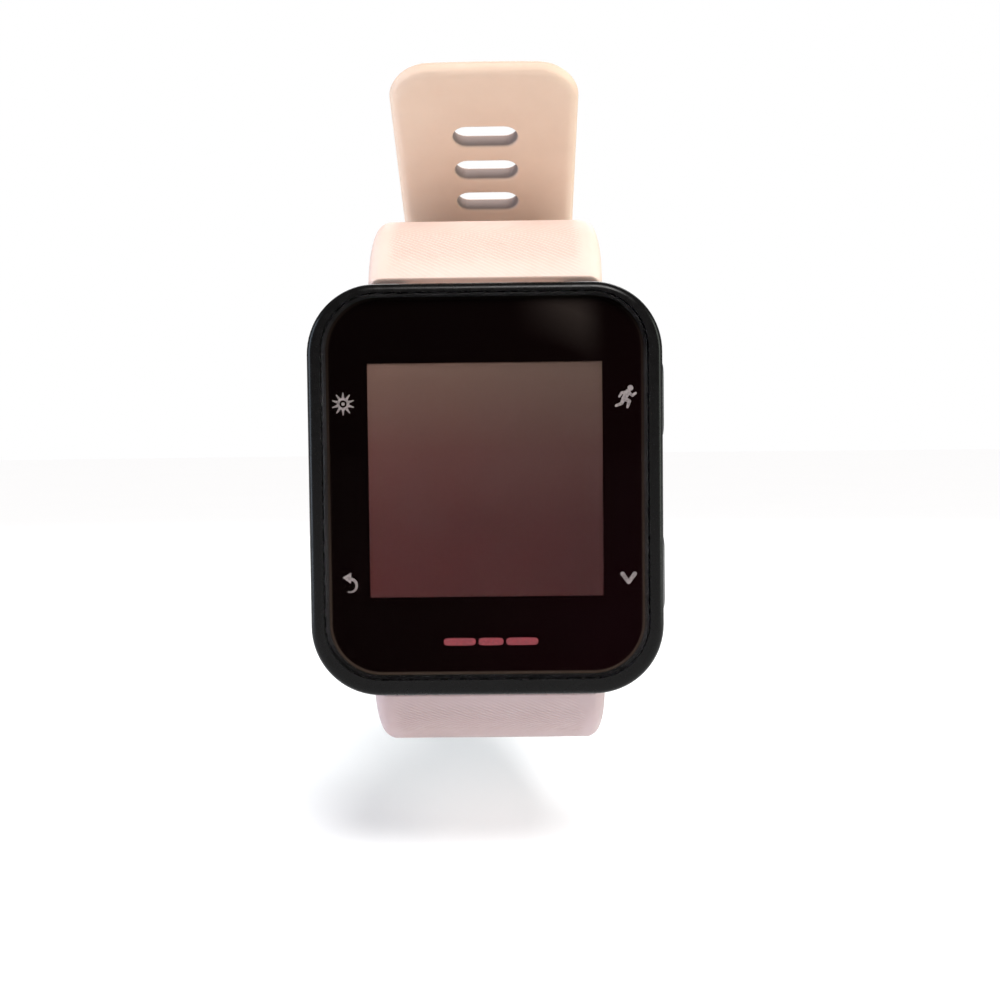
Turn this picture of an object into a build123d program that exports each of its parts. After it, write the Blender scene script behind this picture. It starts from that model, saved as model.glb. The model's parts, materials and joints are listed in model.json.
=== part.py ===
from build123d import *
from math import cos, radians, sin
import os

# GPS watch with a rectangular case, a square display and a two-part silicone strap.
# Millimetres. +X is right as the wearer reads the dial, -Y is the glass side,
# +Y points to the wrist and +Z is twelve o'clock.
# The origin is the centre of the flat case back. Heights "h" are measured from the
# case back toward the glass, so h = -Y.

# ---- case ----
CASE_W, CASE_H, CASE_R = 35.5, 41.3, 7.0
CASE_TOP = 10.0
BACK_ROUND = 2.8
NECK_W, NECK_H, NECK_R = 32.5, 38.6, 5.65
NECK_TOP = 10.9
CAVITY_W, CAVITY_H, CAVITY_R = 31.8, 28.8, 3.5
FLOOR_BOTTOM, FLOOR_TOP, LEDGE = 1.2, 2.4, 9.2
DISPLAY_OPENING = (30.5, 36.5, 4.6)
BACK_OPENING = (23.0, 23.0, 4.5)
SCREW_PITCH = 23.6

# ---- front ----
BEZEL_INNER = (32.7, 38.8, 5.75)
BEZEL_TOP = 12.2
BEZEL_ROUND = 0.8
LENS = (32.4, 38.5, 5.6)
# the glass sits above the case centre, leaving a deeper chin
GLASS_Z = 0.35
LENS_BOTTOM, LENS_TOP = 11.3, 12.5
LENS_BEVEL = 0.35
SCREEN_SIZE = 23.5
SCREEN_Z = 1.0

# ---- lugs, pins and straps ----
LUG_Y, LUG_Z = -5.0, 18.0
LUG_WIDTH, LUG_INNER, LUG_DEPTH = 17.2, 15.6, 8.4
PIN_R, PIN_LENGTH = 1.0, 24.6
PIN_BORE_R = 1.03
KNUCKLE_R, KNUCKLE_WIDTH, NECK_THICK = 2.2, 16.4, 2.9
STRAP_WIDE, STRAP_NARROW = 24.6, 20.4
TAPER_START, TAPER_END = 6.0, 36.0

# Strap centre lines in the YZ plane: start heading in degrees from +Y toward +Z,
# then (radius, turn) arcs and (None, length) straight runs.
SHORT_HEADING, SHORT_RUNS = 82.0, [(11.6, -70.0), (20.0, -110.0)]
LONG_HEADING = -76.0
LONG_RUNS = [(12.0, 64.0), (28.0, 102.0), (None, 2.7), (30.0, 60.0), (None, 30.55)]
FLEX_AT, FLEX_GAP = 63.0, 0.3
SLOT_COUNT, SLOT_PITCH, SLOT_FROM_TIP = 10, 5.4, 10.05
SLOT_LENGTH, SLOT_HEIGHT = 7.0, 2.8

# ---- buckle and keeper ----
BUCKLE_PIN_R, BUCKLE_INNER, BUCKLE_OUTER = 0.75, 21.2, 24.4
BUCKLE_REACH, BAR_THICK, TONGUE_W = 10.0, 1.5, 5.8
KEEPER_AT, KEEPER_LENGTH, KEEPER_WALL = 45.4, 4.6, 1.1

# ---- side buttons ----
BUTTON_Z, BUTTON_H = 9.0, 6.0
CAP_LENGTH, CAP_THICK, CAP_DEPTH = 8.0, 3.0, 1.1
CAP_OUT = 0.6
POCKET_FLOOR = 16.55
STEM_R, STEM_BORE_R = 0.7, 0.74
STEM_END = 14.35

os.makedirs("parts", exist_ok=True)


def level(h, x=0.0, z=0.0):
    """Plane parallel to the dial at height h, facing the glass side."""
    return Plane(origin=(x, -h, z), x_dir=(1, 0, 0), z_dir=(0, -1, 0))


def sideways(x, z=0.0, h=0.0, facing=1):
    """Plane across the X axis, facing +X or -X, with its local x along +Y or -Y."""
    return Plane(origin=(x, -h, z), x_dir=(0, facing, 0), z_dir=(facing, 0, 0))


def save(piece, name):
    piece.part.label = name
    export_step(piece.part, f"parts/{name}.step")


def travel(start, heading, runs, distance):
    """Point and heading after a distance along a chain of arcs and straight runs."""
    y, z = start
    angle = heading
    for radius, amount in runs:
        length = amount if radius is None else radius * abs(radians(amount))
        step = min(distance, length)
        distance -= step
        if radius is None:
            y += step * cos(radians(angle))
            z += step * sin(radians(angle))
        else:
            side = 1 if amount > 0 else -1
            turned = angle + side * step / radius * 180 / 3.14159265
            y += side * radius * (sin(radians(turned)) - sin(radians(angle)))
            z -= side * radius * (cos(radians(turned)) - cos(radians(angle)))
            angle = turned
        if distance <= 1e-9:
            break
    return y, z, angle


def path_length(runs):
    return sum(a if r is None else r * abs(radians(a)) for r, a in runs)


def short_plane(s, lift=0.0):
    """Cross-section plane of the short strap, local y toward the outside of the loop."""
    y, z, angle = travel((LUG_Y, LUG_Z), SHORT_HEADING, SHORT_RUNS, s)
    out = (-sin(radians(angle)), cos(radians(angle)))
    origin = (0, y + lift * out[0], z + lift * out[1])
    return Plane(origin=origin, x_dir=(-1, 0, 0), z_dir=(0, cos(radians(angle)), sin(radians(angle))))


def long_plane(s, lift=0.0):
    """Cross-section plane of the long strap, local y toward the outside of the loop."""
    y, z, angle = travel((LUG_Y, -LUG_Z), LONG_HEADING, LONG_RUNS, s)
    out = (sin(radians(angle)), -cos(radians(angle)))
    origin = (0, y + lift * out[0], z + lift * out[1])
    return Plane(origin=origin, x_dir=(1, 0, 0), z_dir=(0, cos(radians(angle)), sin(radians(angle))))


def face_plane(section):
    """Plane lying on a strap's outer side, local x along X and local y along the strap."""
    return Plane(origin=section.origin, x_dir=section.x_dir, z_dir=-section.y_dir)


def blend(a, b, t):
    t = max(0.0, min(1.0, t))
    return a + (b - a) * t * t * (3 - 2 * t)


def strap_width(s):
    return blend(STRAP_WIDE, STRAP_NARROW, (s - TAPER_START) / (TAPER_END - TAPER_START))


def strap_thickness(s):
    return blend(3.6, 2.5, (s - 5.0) / 22.0)


def tail_thickness(s):
    return blend(2.5, 1.9, (s - 66.0) / 30.0)


SHORT_END = path_length(SHORT_RUNS)
LONG_END = path_length(LONG_RUNS)
SHOULDER = 2.8
# clear space between the case ends and the wide part of both straps
END_GAP = 0.3

# ================= case =================
with BuildPart() as case_body:
    with BuildSketch(level(0)):
        RectangleRounded(CASE_W, CASE_H, CASE_R)
    extrude(amount=CASE_TOP)
    fillet(case_body.faces().sort_by(Axis.Y)[-1].edges(), BACK_ROUND)
    with BuildSketch(level(CASE_TOP, 0, GLASS_Z)):
        RectangleRounded(NECK_W, NECK_H, NECK_R)
    extrude(amount=NECK_TOP - CASE_TOP)
    # display opening, then the main cavity below it
    with BuildSketch(level(LEDGE, 0, GLASS_Z)):
        RectangleRounded(*DISPLAY_OPENING)
    extrude(amount=NECK_TOP - LEDGE, mode=Mode.SUBTRACT)
    with BuildSketch(level(FLOOR_TOP)):
        RectangleRounded(CAVITY_W, CAVITY_H, CAVITY_R)
    extrude(amount=LEDGE - FLOOR_TOP, mode=Mode.SUBTRACT)
    # rear opening, gasket groove and the rebate for the back cover
    with BuildSketch(level(0)):
        RectangleRounded(*BACK_OPENING)
    extrude(amount=FLOOR_TOP, mode=Mode.SUBTRACT)
    with BuildSketch(level(FLOOR_BOTTOM)):
        RectangleRounded(24.6, 24.6, 5.2)
        RectangleRounded(23.6, 23.6, 4.7, mode=Mode.SUBTRACT)
    extrude(amount=0.6, mode=Mode.SUBTRACT)
    with BuildSketch(level(0)):
        RectangleRounded(27.8, 27.8, 4.0)
    extrude(amount=FLOOR_BOTTOM, mode=Mode.SUBTRACT)
    # screw bosses in the cavity corners
    with BuildSketch(level(FLOOR_TOP)):
        with GridLocations(SCREW_PITCH + 2.0, SCREW_PITCH + 0.8, 2, 2):
            RectangleRounded(4.6, 4.0, 1.6)
    extrude(amount=2.6)
    with BuildSketch(level(FLOOR_BOTTOM)):
        with GridLocations(SCREW_PITCH, SCREW_PITCH, 2, 2):
            Circle(0.7)
    extrude(amount=3.2, mode=Mode.SUBTRACT)
    # strap recesses and the pin bores across them
    for z in (LUG_Z, -LUG_Z):
        side = 1 if z > 0 else -1
        with BuildSketch(level(0, 0, side * (LUG_INNER + 3.5))):
            Rectangle(LUG_WIDTH, 7.0)
        extrude(amount=LUG_DEPTH, mode=Mode.SUBTRACT)
        with BuildSketch(sideways(0, z, -LUG_Y)):
            Circle(PIN_BORE_R)
        extrude(amount=PIN_LENGTH / 2 + 0.15, both=True, mode=Mode.SUBTRACT)
    # button pockets, inner bosses, O-ring grooves and stem bores
    for side in (1, -1):
        for z in (BUTTON_Z, -BUTTON_Z):
            with BuildSketch(sideways(side * 14.9, z, BUTTON_H, side)):
                RectangleRounded(3.4, 5.0, 1.0)
            extrude(amount=1.2)
            with BuildSketch(sideways(side * POCKET_FLOOR, z, BUTTON_H, side)):
                SlotOverall(CAP_LENGTH + 0.2, CAP_THICK + 0.2, rotation=90)
            extrude(amount=3.0, mode=Mode.SUBTRACT)
            with BuildSketch(sideways(side * 15.4, z, BUTTON_H, side)):
                Circle(1.25)
            extrude(amount=0.7, mode=Mode.SUBTRACT)
            with BuildSketch(sideways(side * 14.5, z, BUTTON_H, side)):
                Circle(STEM_BORE_R)
            extrude(amount=3.0, mode=Mode.SUBTRACT)
save(case_body, "case_body")

with BuildPart() as bezel:
    with BuildSketch(level(CASE_TOP)):
        RectangleRounded(CASE_W, CASE_H, CASE_R)
    extrude(amount=BEZEL_TOP - CASE_TOP)
    fillet(bezel.faces().sort_by(Axis.Y)[0].edges(), BEZEL_ROUND)
    with BuildSketch(level(CASE_TOP, 0, GLASS_Z)):
        RectangleRounded(*BEZEL_INNER)
    extrude(amount=BEZEL_TOP - CASE_TOP, mode=Mode.SUBTRACT)
save(bezel, "bezel")

with BuildPart() as lens:
    with BuildSketch(level(LENS_BOTTOM, 0, GLASS_Z)):
        RectangleRounded(*LENS)
    extrude(amount=LENS_TOP - LENS_BOTTOM)
    chamfer(lens.faces().sort_by(Axis.Y)[0].edges(), LENS_BEVEL)
save(lens, "lens")

with BuildPart() as lens_print:
    with BuildSketch(level(LENS_BOTTOM - 0.1, 0, GLASS_Z)):
        RectangleRounded(31.8, 37.9, 5.3)
        with Locations((0, SCREEN_Z - GLASS_Z)):
            Rectangle(SCREEN_SIZE, SCREEN_SIZE, mode=Mode.SUBTRACT)
    extrude(amount=0.1)
save(lens_print, "lens_print")

with BuildPart() as lens_adhesive:
    with BuildSketch(level(NECK_TOP, 0, GLASS_Z)):
        RectangleRounded(31.8, 37.9, 5.3)
        RectangleRounded(30.6, 36.6, 4.7, mode=Mode.SUBTRACT)
    extrude(amount=LENS_BOTTOM - 0.1 - NECK_TOP)
save(lens_adhesive, "lens_adhesive")

# ================= display stack =================
with BuildPart() as display_panel:
    with BuildSketch(level(9.9, 0, SCREEN_Z)):
        Rectangle(26.5, 28.5)
    extrude(amount=1.3)
    with BuildSketch(level(10.8, 0, SCREEN_Z - 14.25)):
        Rectangle(26.5, 3.4)
    extrude(amount=0.4, mode=Mode.SUBTRACT)
save(display_panel, "display_panel")

with BuildPart() as backlight:
    with BuildSketch(level(LEDGE, 0, SCREEN_Z)):
        RectangleRounded(26.5, 28.5, 0.5)
    extrude(amount=0.7)
save(backlight, "backlight")

with BuildPart() as display_chassis:
    with BuildSketch(level(7.8)):
        RectangleRounded(31.4, 27.2, 3.0)
    extrude(amount=LEDGE - 7.8)
    with BuildSketch(level(7.8)):
        RectangleRounded(27.4, 24.2, 2.0)
    extrude(amount=0.8, mode=Mode.SUBTRACT)
save(display_chassis, "display_chassis")

# ================= electronics =================
with BuildPart() as main_board:
    with BuildSketch(level(7.0)):
        RectangleRounded(25.4, 20.8, 0.6)
        RectangleRounded(22.6, 27.6, 0.6)
        with GridLocations(0, 24.8, 1, 2):
            Circle(0.6, mode=Mode.SUBTRACT)
    extrude(amount=0.8)
save(main_board, "main_board")

with BuildPart() as battery:
    with BuildSketch(level(2.9, 0, -3.6)):
        RectangleRounded(20.0, 15.2, 1.2)
    extrude(amount=3.4)
    fillet(battery.faces().sort_by(Axis.Y)[0].edges(), 0.5)
save(battery, "battery")

with BuildPart() as battery_tape:
    with BuildSketch(level(6.3, 0, -3.6)):
        Rectangle(18.0, 13.0)
    extrude(amount=0.7)
save(battery_tape, "battery_tape")

with BuildPart() as shield_can:
    with BuildSketch(level(5.4, 4.6, 8.8)):
        RectangleRounded(11.0, 7.4, 0.5)
    extrude(amount=1.6)
    with BuildSketch(level(5.6, 4.6, 8.8)):
        RectangleRounded(10.6, 7.0, 0.3)
    extrude(amount=1.4, mode=Mode.SUBTRACT)
save(shield_can, "shield_can")

with BuildPart() as vibration_motor:
    with BuildSketch(level(4.4, -6.0, 8.8)):
        Circle(3.5)
    extrude(amount=2.6)
    with BuildSketch(level(4.4, -6.0, 8.8)):
        Circle(0.6)
    extrude(amount=0.3, mode=Mode.SUBTRACT)
save(vibration_motor, "vibration_motor")

with BuildPart() as gps_antenna:
    with BuildSketch(level(LEDGE, 0, 17.0)):
        RectangleRounded(22.0, 2.0, 0.3)
    extrude(amount=1.5)
save(gps_antenna, "gps_antenna")

with BuildPart() as radio_antenna:
    with BuildSketch(level(LEDGE, 0, -16.2)):
        RectangleRounded(14.0, 2.4, 0.3)
    extrude(amount=1.1)
save(radio_antenna, "radio_antenna")

with BuildPart() as display_ribbon:
    with BuildSketch(Plane.YZ):
        with Locations((-6.925, -13.475)):
            Rectangle(0.15, 1.35)
        with Locations((-8.9, -14.075)):
            Rectangle(4.1, 0.15)
        with Locations((-10.875, -12.975)):
            Rectangle(0.15, 2.35)
    extrude(amount=4.0, both=True)
save(display_ribbon, "display_ribbon")

for strip_name, side in (("switch_strip_left", -1), ("switch_strip_right", 1)):
    with BuildPart() as switch_strip:
        with BuildSketch(sideways(side * 12.7, 0, 6.4, side)):
            RectangleRounded(2.8, 20.6, 0.4)
        extrude(amount=0.3)
        with BuildSketch(sideways(side * 13.0, 0, BUTTON_H, side)):
            with GridLocations(0, 2 * BUTTON_Z, 1, 2):
                RectangleRounded(2.4, 2.6, 0.3)
        extrude(amount=0.55)
        with BuildSketch(sideways(side * 13.0, 0, BUTTON_H, side)):
            with GridLocations(0, 2 * BUTTON_Z, 1, 2):
                Circle(0.6)
        extrude(amount=0.85)
    save(switch_strip, strip_name)

# ================= case back =================
with BuildPart() as back_cover:
    with BuildSketch(level(0)):
        RectangleRounded(27.5, 27.5, 3.85)
    extrude(amount=1.2)
    with BuildSketch(level(0)):
        Circle(6.45)
    extrude(amount=1.2, mode=Mode.SUBTRACT)
    with BuildSketch(level(0)):
        with GridLocations(SCREW_PITCH, SCREW_PITCH, 2, 2):
            Circle(1.25)
    extrude(amount=0.7, mode=Mode.SUBTRACT)
    with BuildSketch(level(0)):
        with GridLocations(SCREW_PITCH, SCREW_PITCH, 2, 2):
            Circle(0.75)
        with Locations((0, -9.8)):
            with GridLocations(2.4, 0, 4, 1):
                Circle(0.72)
    extrude(amount=1.2, mode=Mode.SUBTRACT)
save(back_cover, "back_cover")

with BuildPart() as back_gasket:
    with BuildSketch(level(1.2)):
        RectangleRounded(24.6, 24.6, 5.2)
        RectangleRounded(23.6, 23.6, 4.7, mode=Mode.SUBTRACT)
    extrude(amount=0.55)
save(back_gasket, "back_gasket")

SCREW_SPOTS = {
    "back_screw_upper_left": (-1, 1),
    "back_screw_upper_right": (1, 1),
    "back_screw_lower_left": (-1, -1),
    "back_screw_lower_right": (1, -1),
}
for screw_name, (across, up) in SCREW_SPOTS.items():
    spot = (across * SCREW_PITCH / 2, up * SCREW_PITCH / 2)
    with BuildPart() as back_screw:
        with BuildSketch(level(0.15, *spot)):
            Circle(1.2)
        extrude(amount=0.55)
        with BuildSketch(level(0.7, *spot)):
            Circle(0.7)
        extrude(amount=3.4)
        with BuildSketch(level(0.15, *spot)):
            Rectangle(1.5, 0.3)
            Rectangle(0.3, 1.5)
        extrude(amount=0.3, mode=Mode.SUBTRACT)
    save(back_screw, screw_name)

with BuildPart() as sensor_window:
    with BuildSketch(level(-0.8)):
        Circle(6.4)
    extrude(amount=1.6)
    fillet(sensor_window.faces().sort_by(Axis.Y)[-1].edges(), 0.7)
save(sensor_window, "sensor_window")

with BuildPart() as sensor_emitters:
    with BuildSketch(level(0.8)):
        with GridLocations(5.2, 0, 2, 1):
            RectangleRounded(1.8, 1.8, 0.2)
        RectangleRounded(2.2, 2.6, 0.2)
    extrude(amount=0.4)
    with BuildSketch(level(1.0)):
        Rectangle(7.0, 1.0)
    extrude(amount=0.2)
save(sensor_emitters, "sensor_emitters")

with BuildPart() as sensor_board:
    with BuildSketch(level(1.2)):
        RectangleRounded(14.0, 14.0, 0.8)
    extrude(amount=0.6)
save(sensor_board, "sensor_board")

with BuildPart() as charge_contacts:
    with BuildSketch(level(0, 0, -9.8)):
        with GridLocations(2.4, 0, 4, 1):
            Circle(0.68)
    extrude(amount=1.3)
    with BuildSketch(level(1.2, 0, -9.8)):
        RectangleRounded(9.6, 2.2, 0.3)
    extrude(amount=0.5)
save(charge_contacts, "charge_contacts")

# ================= side buttons =================
BUTTONS = {
    "light_button": (-1, BUTTON_Z),
    "back_button": (-1, -BUTTON_Z),
    "start_button": (1, BUTTON_Z),
    "down_button": (1, -BUTTON_Z),
}
CAP_FACE = CASE_W / 2 + CAP_OUT
for button_name, (side, z) in BUTTONS.items():
    with BuildPart() as button:
        with BuildSketch(sideways(side * (CAP_FACE - CAP_DEPTH), z, BUTTON_H, side)):
            SlotOverall(CAP_LENGTH, CAP_THICK, rotation=90)
        extrude(amount=CAP_DEPTH)
        outermost = button.faces().sort_by(Axis.X)[-1 if side > 0 else 0]
        fillet(outermost.edges(), 0.4)
        with BuildSketch(sideways(side * STEM_END, z, BUTTON_H, side)):
            Circle(STEM_R)
        extrude(amount=CAP_FACE - CAP_DEPTH - STEM_END)
        # retaining clip on the inner end of the stem
        with BuildSketch(sideways(side * (STEM_END + 0.1), z, BUTTON_H, side)):
            Circle(1.2)
        extrude(amount=0.3)
    save(button, button_name)
    with BuildPart() as seal:
        with BuildSketch(sideways(side * 15.45, z, BUTTON_H, side)):
            Circle(1.22)
            Circle(STEM_BORE_R, mode=Mode.SUBTRACT)
        extrude(amount=0.6)
    save(seal, button_name.replace("button", "seal"))

# ================= strap pins =================
for pin_name, z in (("top_strap_pin", LUG_Z), ("bottom_strap_pin", -LUG_Z)):
    with BuildPart() as strap_pin:
        with BuildSketch(sideways(0, z, -LUG_Y)):
            Circle(PIN_R)
        extrude(amount=PIN_LENGTH / 2, both=True)
        chamfer(strap_pin.faces().filter_by(Axis.X).edges(), 0.2)
        for side in (1, -1):
            with BuildSketch(sideways(side * (PIN_LENGTH / 2 - 0.6), z, -LUG_Y, side)):
                RegularPolygon(0.45, 6)
            extrude(amount=0.6, mode=Mode.SUBTRACT)
    save(strap_pin, pin_name)


# ================= straps =================
SHOULDER_STEPS = ((0.0, 0.4), (0.2, 0.66), (0.5, 0.88), (1.0, 1.0))


def shoulder_sections(plane_at):
    """Plane, width and thickness of the rounded strap end next to the case."""
    for ahead, share in SHOULDER_STEPS:
        s = SHOULDER + ahead
        yield plane_at(s), strap_width(s) - 0.9 * (1 - share), strap_thickness(s) * share


def strap_sections(plane_at, stations):
    for s in stations:
        yield plane_at(s), strap_width(s), strap_thickness(s)


SHORT_STATIONS = [6.5, 9.0, 12.0, 15.2, 18.0, 21.0, 24.5, 28.0, 31.5, 35.0, 38.5, 42.0, 45.5, 48.5, 50.4]
ROLL_R = 1.75
ROLL_START, NOTCH_START = SHORT_END - 2.64, SHORT_END - 3.04
pin_plane = short_plane(SHORT_END)
pin_y, pin_z = pin_plane.origin.Y, pin_plane.origin.Z
with BuildPart() as short_strap:
    for plane, width, thickness in [*shoulder_sections(short_plane), *strap_sections(short_plane, SHORT_STATIONS)]:
        with BuildSketch(plane):
            RectangleRounded(width, thickness, thickness * 0.32)
    loft(ruled=True)
    Box(STRAP_WIDE + 2, 20, CASE_H + 2 * END_GAP, mode=Mode.SUBTRACT)
    # barrel round the top pin and the web that joins it to the strap
    with BuildSketch(sideways(0, LUG_Z, -LUG_Y)):
        Circle(KNUCKLE_R)
    extrude(amount=KNUCKLE_WIDTH / 2, both=True)
    with BuildSketch(short_plane(0)):
        Rectangle(KNUCKLE_WIDTH, NECK_THICK)
    extrude(amount=SHOULDER + 0.9)
    with BuildSketch(sideways(0, LUG_Z, -LUG_Y)):
        Circle(PIN_BORE_R)
    extrude(amount=KNUCKLE_WIDTH, both=True, mode=Mode.SUBTRACT)
    # rolled end that holds the buckle pin, notched for the tongue
    with BuildSketch(short_plane(ROLL_START)):
        Rectangle(STRAP_NARROW, 2.4)
    extrude(amount=SHORT_END - ROLL_START)
    with BuildSketch(sideways(0, pin_z, -pin_y)):
        Circle(ROLL_R)
    extrude(amount=STRAP_NARROW / 2, both=True)
    with BuildSketch(sideways(0, pin_z, -pin_y)):
        Circle(BUCKLE_PIN_R + 0.03)
    extrude(amount=STRAP_NARROW, both=True, mode=Mode.SUBTRACT)
    with BuildSketch(short_plane(NOTCH_START)):
        Rectangle(TONGUE_W + 0.8, 9.0)
    extrude(amount=8.0, mode=Mode.SUBTRACT)
save(short_strap, "short_strap")

ROOT_STATIONS = [6.5, 9.5, 13.4, 18.0, 23.0, 28.0, 33.0, 38.0, 43.0, 48.0, 53.0, 58.0, FLEX_AT - FLEX_GAP / 2]
with BuildPart() as long_strap_root:
    for plane, width, thickness in [*shoulder_sections(long_plane), *strap_sections(long_plane, ROOT_STATIONS)]:
        with BuildSketch(plane):
            RectangleRounded(width, thickness, thickness * 0.32)
    loft(ruled=True)
    Box(STRAP_WIDE + 2, 20, CASE_H + 2 * END_GAP, mode=Mode.SUBTRACT)
    with BuildSketch(sideways(0, -LUG_Z, -LUG_Y)):
        Circle(KNUCKLE_R)
    extrude(amount=KNUCKLE_WIDTH / 2, both=True)
    with BuildSketch(long_plane(0)):
        Rectangle(KNUCKLE_WIDTH, NECK_THICK)
    extrude(amount=SHOULDER + 0.9)
    with BuildSketch(sideways(0, -LUG_Z, -LUG_Y)):
        Circle(PIN_BORE_R)
    extrude(amount=KNUCKLE_WIDTH, both=True, mode=Mode.SUBTRACT)
save(long_strap_root, "long_strap_root")

TAIL_STATIONS = [FLEX_AT + FLEX_GAP / 2, 66.0, 70.0, 75.0, 80.0, 85.0, 90.0, 94.0, 97.4, 102.0, 110.0, 118.0, 123.0]
TIP_STEPS = ((2.4, 0.985, 0.96), (0.9, 0.94, 0.85), (0.0, 0.84, 0.6))
with BuildPart() as long_strap_tail:
    for s in TAIL_STATIONS:
        with BuildSketch(long_plane(s)):
            RectangleRounded(STRAP_NARROW, tail_thickness(s), tail_thickness(s) * 0.32)
    for from_tip, width_share, thick_share in TIP_STEPS:
        s = LONG_END - from_tip
        thickness = tail_thickness(s) * thick_share
        with BuildSketch(long_plane(s)):
            RectangleRounded(STRAP_NARROW * width_share, thickness, thickness * 0.32)
    loft(ruled=True)
    for index in range(SLOT_COUNT):
        slot_at = LONG_END - SLOT_FROM_TIP - index * SLOT_PITCH
        with BuildSketch(face_plane(long_plane(slot_at))):
            SlotOverall(SLOT_LENGTH, SLOT_HEIGHT)
        extrude(amount=3.0, both=True, mode=Mode.SUBTRACT)
save(long_strap_tail, "long_strap_tail")

# ================= buckle =================
with BuildPart() as buckle_pin:
    with BuildSketch(sideways(0, pin_z, -pin_y)):
        Circle(BUCKLE_PIN_R)
    extrude(amount=BUCKLE_OUTER / 2 - 0.3, both=True)
save(buckle_pin, "buckle_pin")

# local x of the pin plane runs along -X, local y outward, and z along the strap
ARM = (BUCKLE_OUTER - BUCKLE_INNER) / 2
frame_face = Plane(origin=pin_plane.origin, x_dir=(1, 0, 0), z_dir=pin_plane.y_dir)
along = -1 if frame_face.y_dir.dot(pin_plane.z_dir) < 0 else 1
frame_inner = frame_face.offset(-BAR_THICK - 0.05)
with BuildPart() as buckle_frame:
    with BuildSketch(frame_inner):
        with Locations((0, along * BUCKLE_REACH / 2)):
            RectangleRounded(BUCKLE_OUTER, BUCKLE_REACH + 3.2, 1.55)
        with Locations((0, along * (BUCKLE_REACH / 2 - 2.2))):
            Rectangle(BUCKLE_INNER, BUCKLE_REACH + 3.0, mode=Mode.SUBTRACT)
    extrude(amount=BAR_THICK)
    # eyes at the pin end of both arms
    for side in (1, -1):
        with BuildSketch(sideways(side * BUCKLE_INNER / 2, pin_z, -pin_y, side)):
            Circle(1.6)
        extrude(amount=ARM)
    with BuildSketch(sideways(0, pin_z, -pin_y)):
        Circle(BUCKLE_PIN_R + 0.04)
    extrude(amount=BUCKLE_OUTER, both=True, mode=Mode.SUBTRACT)
save(buckle_frame, "buckle_frame")

with BuildPart() as buckle_tongue:
    with BuildSketch(sideways(0, pin_z, -pin_y)):
        Circle(1.5)
    extrude(amount=TONGUE_W / 2, both=True)
    with BuildSketch(frame_face.offset(0.12)):
        with Locations((0, along * 5.0)):
            RectangleRounded(TONGUE_W, 11.4, 1.4)
    extrude(amount=1.0)
    with BuildSketch(sideways(0, pin_z, -pin_y)):
        Circle(BUCKLE_PIN_R + 0.04)
    extrude(amount=TONGUE_W, both=True, mode=Mode.SUBTRACT)
save(buckle_tongue, "buckle_tongue")

# ================= keeper =================
# Bent band that slides along the arc of the short strap and holds the tail against it.
KEEPER_LOW, KEEPER_HIGH = -strap_thickness(KEEPER_AT) / 2 - 0.25, strap_thickness(KEEPER_AT) / 2 + 2.15
KEEPER_HALF = STRAP_NARROW / 2 + 0.3
keeper_middle = (KEEPER_LOW + KEEPER_HIGH) / 2
with BuildPart() as strap_keeper:
    for s in (KEEPER_AT - KEEPER_LENGTH / 2, KEEPER_AT, KEEPER_AT + KEEPER_LENGTH / 2):
        with BuildSketch(short_plane(s, keeper_middle)):
            RectangleRounded(2 * (KEEPER_HALF + KEEPER_WALL), KEEPER_HIGH - KEEPER_LOW + 2 * KEEPER_WALL, 1.3)
    loft()
    for s in (KEEPER_AT - KEEPER_LENGTH, KEEPER_AT, KEEPER_AT + KEEPER_LENGTH):
        with BuildSketch(short_plane(s, keeper_middle)):
            Rectangle(2 * KEEPER_HALF, KEEPER_HIGH - KEEPER_LOW)
    loft(mode=Mode.SUBTRACT)
save(strap_keeper, "strap_keeper")
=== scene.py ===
import json
import math

import bmesh
import bpy
from mathutils import Matrix, Vector


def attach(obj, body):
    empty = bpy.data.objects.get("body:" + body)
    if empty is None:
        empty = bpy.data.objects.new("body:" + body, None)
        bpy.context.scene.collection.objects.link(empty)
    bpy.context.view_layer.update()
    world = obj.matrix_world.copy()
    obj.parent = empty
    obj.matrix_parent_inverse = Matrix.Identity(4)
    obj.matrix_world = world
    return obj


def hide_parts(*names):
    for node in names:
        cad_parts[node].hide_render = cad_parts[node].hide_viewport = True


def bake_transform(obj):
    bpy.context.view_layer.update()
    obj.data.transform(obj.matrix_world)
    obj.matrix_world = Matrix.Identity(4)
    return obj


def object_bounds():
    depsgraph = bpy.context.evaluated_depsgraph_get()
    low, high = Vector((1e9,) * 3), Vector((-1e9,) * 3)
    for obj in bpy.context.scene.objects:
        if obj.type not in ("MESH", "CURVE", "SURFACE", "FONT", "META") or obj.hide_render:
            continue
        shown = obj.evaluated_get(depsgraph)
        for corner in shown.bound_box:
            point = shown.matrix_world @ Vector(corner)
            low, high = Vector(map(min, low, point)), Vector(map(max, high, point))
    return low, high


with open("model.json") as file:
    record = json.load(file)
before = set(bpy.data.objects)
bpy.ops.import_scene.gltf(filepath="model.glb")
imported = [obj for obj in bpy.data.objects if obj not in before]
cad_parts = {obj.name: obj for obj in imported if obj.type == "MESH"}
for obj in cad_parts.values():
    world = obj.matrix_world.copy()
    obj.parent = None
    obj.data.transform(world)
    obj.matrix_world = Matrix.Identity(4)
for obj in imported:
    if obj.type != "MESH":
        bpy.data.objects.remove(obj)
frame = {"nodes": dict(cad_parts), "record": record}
cad_low, cad_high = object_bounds()

MM = 0.001
scene = bpy.context.scene
scene.view_settings.view_transform = "Standard"


# ---------------------------------------------------------------- node helpers
def srgb(r, g, b):
    """8-bit display colour to linear RGBA."""
    def one(c):
        c /= 255
        return c / 12.92 if c <= 0.04045 else ((c + 0.055) / 1.055) ** 2.4
    return (one(r), one(g), one(b), 1.0)


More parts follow.
